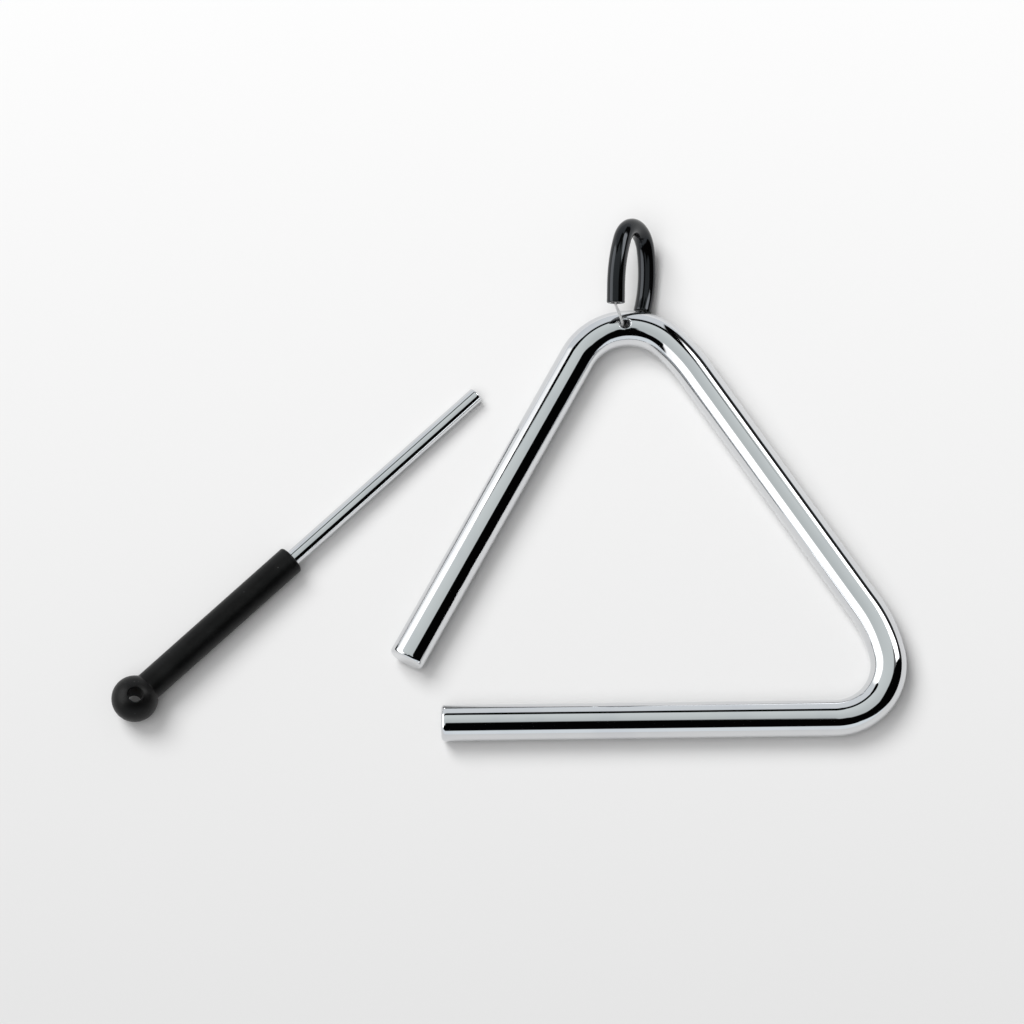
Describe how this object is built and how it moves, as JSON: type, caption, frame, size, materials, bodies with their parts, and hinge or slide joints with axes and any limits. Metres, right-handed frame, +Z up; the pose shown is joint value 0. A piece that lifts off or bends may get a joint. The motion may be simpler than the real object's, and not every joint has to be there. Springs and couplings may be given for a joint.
{
  "type": "triangle instrument",
  "caption": "Bent steel triangle, open at a corner, hung by a nylon line from a tube loop, with its steel beater in a ball-ended rubber grip, lying flat.",
  "frame": {"origin": "on the surface that the set lies on, under the middle of the box round the whole set", "axes": "+X along the triangle's base towards its closed corner, +Y from the base towards the holder loop, +Z up from the surface"},
  "size_m": [0.1738, 0.1182, 0.016],
  "materials": {
    "chrome_steel": "polished plating",
    "clear_nylon": "clear monofilament",
    "black_tube": "glossy",
    "black_rubber": "matt moulded"
  },
  "bodies": {
    "triangle": {"triangle_bar": "chrome_steel"},
    "line": {"nylon_line": "clear_nylon"},
    "holder": {"holder_tube": "black_tube", "line_in_tube": "clear_nylon"},
    "beater": {"beater_rod": "chrome_steel", "beater_grip": "black_rubber"}
  },
  "joints": [
    {"name": "holder_swing", "type": "hinge", "parent": "triangle", "child": "line", "pos_m": [0.02558, 0.03509, 0.00448], "axis": [0.0001, -0.0053, 1], "range_deg": [-5, 40]},
    {"name": "holder_tilt", "type": "hinge", "parent": "line", "child": "holder", "pos_m": [0.02558, 0.03509, 0.00448], "axis": [0.9974, 0.0715, 0], "range_deg": [0, 75], "deforming": ["nylon_line"]},
    {"name": "beater_lift", "type": "slide", "parent": "triangle", "child": "beater", "axis": [0, 0, 1], "range_m": [0, 0.06]}
  ]
}
